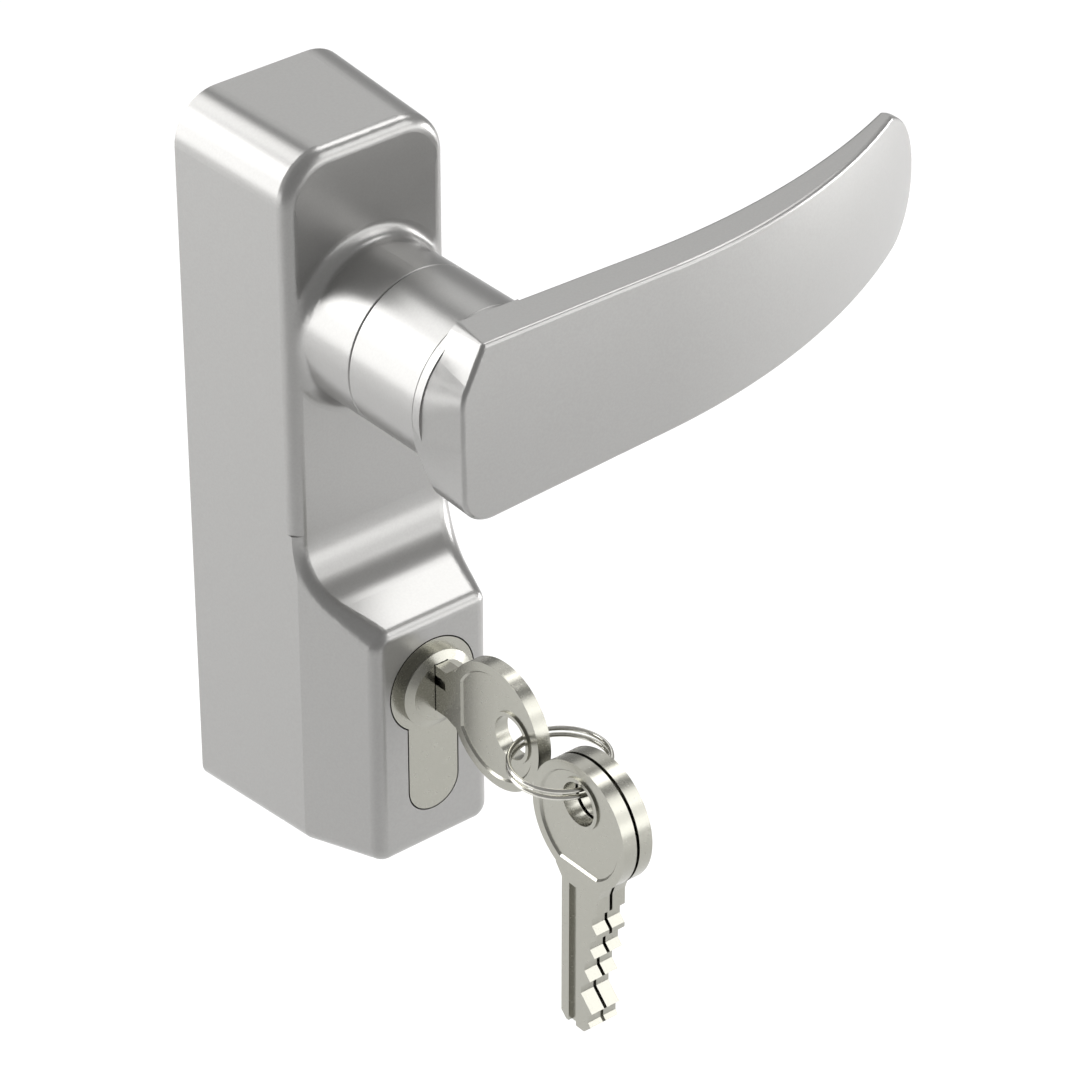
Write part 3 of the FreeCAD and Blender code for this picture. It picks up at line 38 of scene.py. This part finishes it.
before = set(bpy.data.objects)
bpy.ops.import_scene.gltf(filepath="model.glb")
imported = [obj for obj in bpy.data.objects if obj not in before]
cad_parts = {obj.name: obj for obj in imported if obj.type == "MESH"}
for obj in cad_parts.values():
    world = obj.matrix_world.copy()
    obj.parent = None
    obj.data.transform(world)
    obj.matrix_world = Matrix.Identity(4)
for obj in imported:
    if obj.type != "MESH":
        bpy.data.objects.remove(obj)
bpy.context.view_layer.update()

# Camera of the photograph
CAMERA_TARGET = Vector((0.056879, 0.0, -0.078722))
CAMERA_AZIMUTH = math.radians(-39.591)
CAMERA_ELEVATION = math.radians(32.884)
CAMERA_DISTANCE = 0.86754
CAMERA_LENS = 164.8
SENSOR = 36.0

# Floor and light
FLOOR_SIZE = 6.0
FLOOR_CENTRE = (0.3, 0.3, -0.33)
FLOOR_GLOW = 0.08
FLOOR_MOTTLE = 2.0
WORLD_STRENGTH = 0.36
LIGHT_AIM = Vector((0.03, 0.0, -0.02))
# name, direction from the part, distance, width and height, brightness
SOFT_BOXES = (
    ("left_box", (-0.74, 0.65, 0.10), 1.3, (0.70, 0.75), 3.5),
    ("left_high_box", (-0.56, 0.65, 0.50), 1.3, (0.55, 0.50), 5.6),
    ("left_low_box", (-0.95, 0.22, -0.08), 1.1, (0.60, 0.30), 1.8),
    ("back_high_box", (-0.20, 0.65, 0.73), 1.3, (0.55, 0.55), 3.5),
    ("back_right_box", (0.50, 0.62, 0.60), 1.4, (0.60, 0.60), 1.0),
    ("top_box", (0.535, 0.10, 0.84), 1.4, (0.60, 0.60), 4.4),
    ("right_box", (0.95, -0.30, -0.02), 1.3, (0.60, 0.50), 8.5),
    ("front_low_box", (0.55, -0.80, 0.0), 1.3, (0.90, 0.40), 2.8),
    ("front_mid_box", (0.52, -0.78, 0.33), 1.3, (0.70, 0.50), 1.8),
    ("front_high_box", (0.55, -0.60, 0.60), 1.4, (0.60, 0.50), 2.8),
)

# Depth of a metal's finest texture
BUMP_DEPTH = 0.00002

# Slide's return spring
SLIDE_SPRING_WIRE_R = 0.00035
SLIDE_SPRING_TURNS = 4
STEPS_PER_TURN = 48
WIRE_SIDES = 12


def new_material(name):
    material = bpy.data.materials.new(name)
    material.use_nodes = True
    shader = material.node_tree.nodes["Principled BSDF"]
    return material, material.node_tree, shader


def object_noise(tree, scale):
    """Noise in the object's own space, with scale in features per metre."""
    place = tree.nodes.new("ShaderNodeTexCoord")
    noise = tree.nodes.new("ShaderNodeTexNoise")
    noise.inputs["Scale"].default_value = scale
    noise.inputs["Detail"].default_value = 2.0
    noise.inputs["Roughness"].default_value = 0.5
    tree.links.new(place.outputs["Object"], noise.inputs["Vector"])
    return noise.outputs["Fac"]


def mixed_colour(tree, factor, dark, light, low=0.35, high=0.65):
    ramp = tree.nodes.new("ShaderNodeValToRGB")
    ramp.color_ramp.elements[0].position = low
    ramp.color_ramp.elements[0].color = (*dark, 1.0)
    ramp.color_ramp.elements[1].position = high
    ramp.color_ramp.elements[1].color = (*light, 1.0)
    tree.links.new(factor, ramp.inputs["Fac"])
    return ramp.outputs["Color"]


def ranged(tree, factor, low, high):
    span = tree.nodes.new("ShaderNodeMapRange")
    span.inputs["To Min"].default_value = low
    span.inputs["To Max"].default_value = high
    tree.links.new(factor, span.inputs["Value"])
    return span.outputs["Result"]


def bumped(tree, shader, height, strength, distance):
    bump = tree.nodes.new("ShaderNodeBump")
    bump.inputs["Strength"].default_value = strength
    bump.inputs["Distance"].default_value = distance
    tree.links.new(height, bump.inputs["Height"])
    tree.links.new(bump.outputs["Normal"], shader.inputs["Normal"])


def metal(name, dark, light, rough, scale, metallic=1.0, bump=0.0):
    """Finish with a faint mottle in its colour and its gloss."""
    material, tree, shader = new_material(name)
    mottle = object_noise(tree, scale)
    tree.links.new(mixed_colour(tree, mottle, dark, light), shader.inputs["Base Color"])
    tree.links.new(ranged(tree, mottle, rough[0], rough[1]), shader.inputs["Roughness"])
    shader.inputs["Metallic"].default_value = metallic
    if bump:
        bumped(tree, shader, mottle, bump, BUMP_DEPTH)
    return material


# name, dark and light colour, least and most roughness, mottle per metre
silver = metal("satin_silver", (0.342, 0.338, 0.330), (0.358, 0.354, 0.346), (0.27, 0.31),
               2500.0, metallic=0.7, bump=0.04)
nickel = metal("satin_nickel", (0.362, 0.357, 0.317), (0.374, 0.369, 0.329), (0.24, 0.29),
               1800.0, bump=0.03)
bright_wire = metal("bright_wire", (0.60, 0.59, 0.54), (0.66, 0.65, 0.60), (0.12, 0.18), 1500.0)
zinc = metal("zinc_plate", (0.42, 0.43, 0.42), (0.50, 0.51, 0.50), (0.28, 0.45), 260.0)
spring = metal("spring_steel", (0.10, 0.10, 0.105), (0.16, 0.16, 0.165), (0.28, 0.40), 700.0)
bronze = metal("sintered_bronze", (0.38, 0.24, 0.12), (0.48, 0.32, 0.17), (0.45, 0.60),
               3000.0, bump=0.3)
black = metal("black_oxide", (0.020, 0.020, 0.022), (0.035, 0.035, 0.037), (0.35, 0.50),
              900.0, metallic=0.8)
brass = metal("turned_brass", (0.60, 0.44, 0.18), (0.68, 0.52, 0.24), (0.22, 0.34), 800.0)
nylon = metal("nylon", (0.62, 0.60, 0.54), (0.68, 0.66, 0.60), (0.45, 0.55), 500.0, metallic=0.0)

FINISHES = {
    "housing_shell": silver,
    "lever_neck": silver,
    "lever_handle": silver,
    "boss_bush": bronze,
    "back_plate": zinc,
    "back_plate_screws": zinc,
    "fixing_pillars": zinc,
    "plate_studs": zinc,
    "drive_hub": zinc,
    "thrust_washer": nylon,
    "neck_screw": black,
    "neck_grub_screw": black,
    "lever_return_spring": spring,
    "lock_slide": zinc,
    "slide_return_spring": spring,
    "cylinder_body": nickel,
    "cylinder_screw": black,
    "cylinder_plug": nickel,
    "cylinder_cam": zinc,
    "plug_circlip": spring,
    "key_pins": brass,
    "driver_pins": brass,
    "pin_springs": spring,
    "chamber_plugs": brass,
    "working_key": nickel,
    "split_ring": bright_wire,
    "spare_key_1": nickel,
    "spare_key_2": nickel,
}

for node, material in FINISHES.items():
    for slot in bpy.data.objects[node].material_slots:
        slot.material = material


def coil_mesh(name, centre, radius, low, high, turns, wire_r):
    """Closed tube along a helix that stands on Z."""
    steps = turns * STEPS_PER_TURN
    rise = (high - low) / (2 * math.pi * turns)
    points = []
    for step in range(steps + 1):
        angle = 2 * math.pi * turns * step / steps
        out = Vector((math.cos(angle), math.sin(angle), 0.0))
        along = Vector((-radius * math.sin(angle), radius * math.cos(angle), rise)).normalized()
        side = along.cross(out)
        middle = centre + out * radius + Vector((0.0, 0.0, low + rise * angle))
        for corner in range(WIRE_SIDES):
            turn = 2 * math.pi * corner / WIRE_SIDES
            points.append(middle + (out * math.cos(turn) + side * math.sin(turn)) * wire_r)
    faces = [tuple(reversed(range(WIRE_SIDES)))]
    for step in range(steps):
        for corner in range(WIRE_SIDES):
            following = (corner + 1) % WIRE_SIDES
            here, ahead = step * WIRE_SIDES, (step + 1) * WIRE_SIDES
            faces.append((here + corner, here + following, ahead + following, ahead + corner))
    faces.append(tuple(steps * WIRE_SIDES + corner for corner in range(WIRE_SIDES)))
    mesh = bpy.data.meshes.new(name)
    mesh.from_pydata([tuple(point) for point in points], [], faces)
    mesh.validate()
    for face in mesh.polygons:
        face.use_smooth = len(face.vertices) == 4
    return mesh


def slide_spring():
    """The slide's return spring, which the slide presses against the ledge above it."""
    node = "slide_return_spring"
    low, high = (Vector(corner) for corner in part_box(node))
    radius = (high.x - low.x) / 2 - SLIDE_SPRING_WIRE_R
    centre = Vector(((low.x + high.x) / 2, (low.y + high.y) / 2, 0.0))
    mesh = coil_mesh("slide_spring_coil", centre, radius, low.z + SLIDE_SPRING_WIRE_R,
                     high.z - SLIDE_SPRING_WIRE_R, SLIDE_SPRING_TURNS, SLIDE_SPRING_WIRE_R)
    coil = bpy.data.objects.new("slide_spring_coil", mesh)
    bpy.context.collection.objects.link(coil)
    mesh.materials.append(spring)
    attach(coil, "base")
    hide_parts(node)
    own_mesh(coil)


def stage_floor():
    bpy.ops.mesh.primitive_plane_add(size=FLOOR_SIZE, location=FLOOR_CENTRE)
    floor = bpy.context.object
    floor.name = "floor"
    material, tree, shader = new_material("floor_white")
    mottle = object_noise(tree, FLOOR_MOTTLE)
    white = mixed_colour(tree, mottle, (0.93, 0.93, 0.93), (0.95, 0.95, 0.95))
    tree.links.new(white, shader.inputs["Base Color"])
    shader.inputs["Roughness"].default_value = 0.9
    shader.inputs["Emission Color"].default_value = (1.0, 1.0, 1.0, 1.0)
    shader.inputs["Emission Strength"].default_value = FLOOR_GLOW
    floor.data.materials.append(material)


def soft_box(name, way, distance, size, radiance):
    """Rectangular soft box that stands in the direction way from the part."""
    data = bpy.data.lights.new(name, "AREA")
    data.shape = "RECTANGLE"
    data.size, data.size_y = size
    data.energy = radiance * math.pi * size[0] * size[1]
    light = bpy.data.objects.new(name, data)
    bpy.context.collection.objects.link(light)
    light.location = LIGHT_AIM + Vector(way).normalized() * distance
    light.rotation_euler = (LIGHT_AIM - light.location).to_track_quat("-Z", "Y").to_euler()


def studio():
    world = bpy.data.worlds.new("studio")
    bpy.context.scene.world = world
    world.use_nodes = True
    back = world.node_tree.nodes["Background"]
    back.inputs["Color"].default_value = (1.0, 1.0, 1.0, 1.0)
    back.inputs["Strength"].default_value = WORLD_STRENGTH
    for box in SOFT_BOXES:
        soft_box(*box)


def camera():
    data = bpy.data.cameras.new("photo_camera")
    data.sensor_width = SENSOR
    data.lens = CAMERA_LENS
    data.clip_start = 0.05
    data.clip_end = 20.0
    eye = bpy.data.objects.new("photo_camera", data)
    bpy.context.collection.objects.link(eye)
    back = Vector((
        math.sin(CAMERA_AZIMUTH) * math.cos(CAMERA_ELEVATION),
        -math.cos(CAMERA_AZIMUTH) * math.cos(CAMERA_ELEVATION),
        math.sin(CAMERA_ELEVATION)))
    eye.location = CAMERA_TARGET + back * CAMERA_DISTANCE
    eye.rotation_euler = (-back).to_track_quat("-Z", "Y").to_euler()
    bpy.context.scene.camera = eye


slide_spring()
stage_floor()
studio()
camera()
bpy.context.scene.view_settings.view_transform = "Standard"
